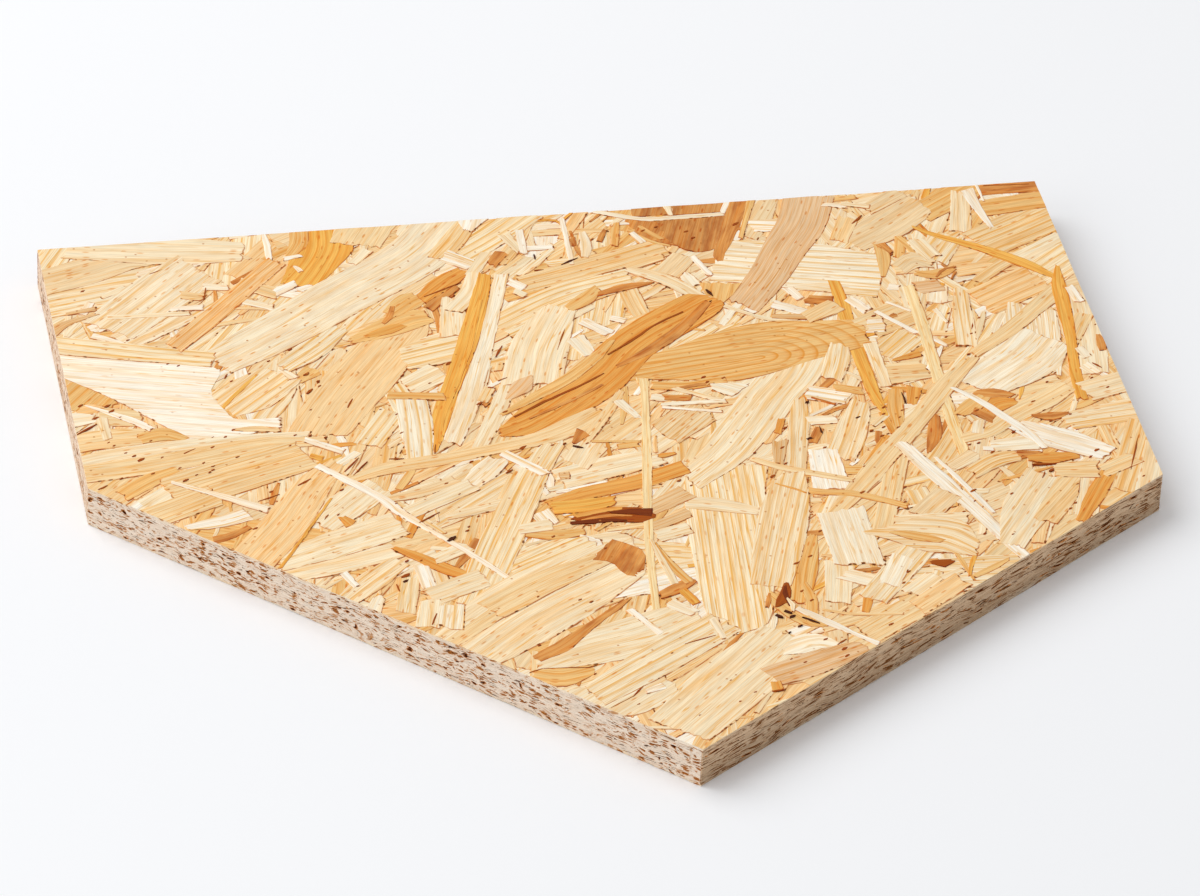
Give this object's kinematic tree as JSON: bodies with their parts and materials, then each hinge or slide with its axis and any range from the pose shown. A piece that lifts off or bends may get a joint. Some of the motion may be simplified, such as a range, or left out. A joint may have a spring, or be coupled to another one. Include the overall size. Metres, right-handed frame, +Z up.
{
  "type": "oriented strand board offcut",
  "caption": "Flat five-sided offcut of pressed wood-strand sheet with square-sawn edges, used as sheathing, decking or packing.",
  "frame": {"origin": "under the middle of the bounding box, on the underside of the board", "axes": "+X along the straight back edge, +Y towards the back edge, +Z up through the thickness; the board lies flat on its underside"},
  "size_m": [0.43, 0.37, 0.018],
  "materials": {
    "pressed_strands": "bare pressed softwood strands, unsanded, edges sawn"
  },
  "bodies": {
    "root": {"board": "pressed_strands"}
  },
  "joints": []
}
